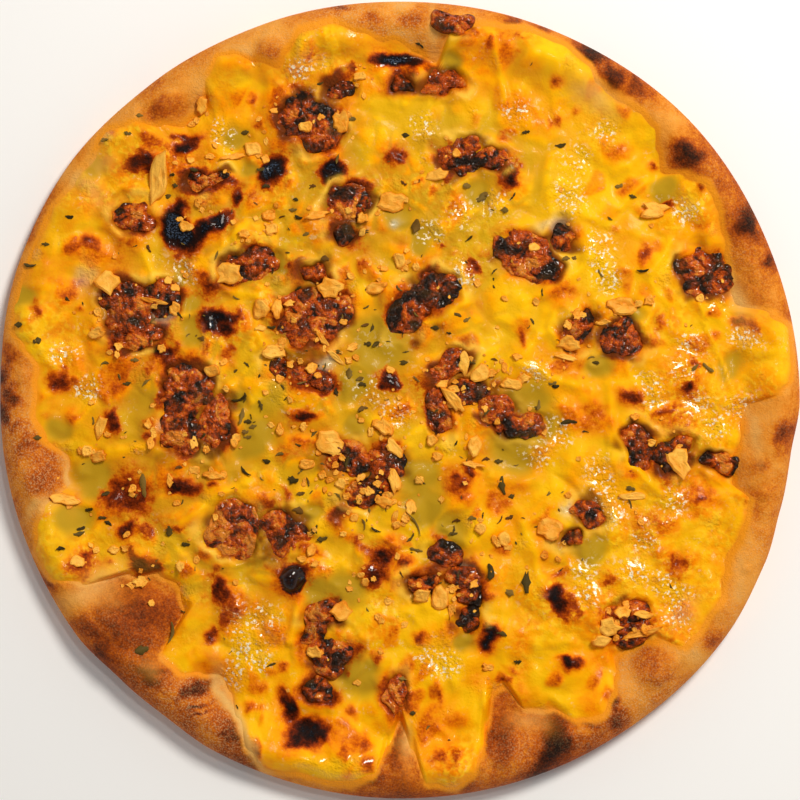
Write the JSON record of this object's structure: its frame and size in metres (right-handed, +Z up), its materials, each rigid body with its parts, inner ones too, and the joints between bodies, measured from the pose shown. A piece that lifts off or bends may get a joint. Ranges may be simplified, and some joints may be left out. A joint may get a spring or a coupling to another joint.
{
  "type": "steak pizza",
  "caption": "Whole round pizza with a puffed, browned rim, melted cheese lapping onto it, pieces of steak set into the cheese, and garlic chips and herb flakes on top.",
  "frame": {"origin": "middle of the pizza's flat underside", "axes": "+Z up out of the cheese, +Y towards the top of the pizza as pictured from straight above, +X to the right"},
  "size_m": [0.3, 0.299, 0.0195],
  "materials": {
    "crust": "baked dough, matte and floury, golden to dark brown",
    "cheese": "melted yellow cheese, oily gloss, browned blisters",
    "steak": "seared red-brown meat, moist",
    "garlic": "fried garlic chip, pale gold, slightly waxy",
    "herb": "dried herb flake, dark green, matte"
  },
  "bodies": {
    "root": {"crust": "crust", "cheese": "cheese", "steak_01": "steak", "steak_02": "steak", "steak_03": "steak", "steak_04": "steak", "steak_05": "steak", "steak_06": "steak", "steak_07": "steak", "steak_08": "steak", "steak_09": "steak", "steak_10": "steak", "steak_11": "steak", "steak_12": "steak", "steak_13": "steak", "steak_14": "steak", "steak_15": "steak", "steak_16": "steak", "steak_17": "steak", "steak_18": "steak", "steak_19": "steak", "steak_20": "steak", "steak_21": "steak", "steak_22": "steak", "steak_23": "steak", "steak_24": "steak", "steak_25": "steak", "steak_26": "steak", "steak_27": "steak", "steak_28": "steak", "steak_29": "steak", "steak_30": "steak", "steak_31": "steak", "steak_32": "steak", "steak_33": "steak", "steak_34": "steak", "steak_35": "steak", "steak_36": "steak", "steak_37": "steak", "steak_38": "steak", "steak_39": "steak", "steak_40": "steak", "steak_41": "steak", "steak_42": "steak", "steak_43": "steak", "steak_44": "steak", "steak_45": "steak", "steak_46": "steak", "steak_47": "steak", "steak_48": "steak", "steak_49": "steak", "steak_50": "steak", "steak_51": "steak", "steak_52": "steak", "steak_53": "steak"}
  },
  "joints": []
}
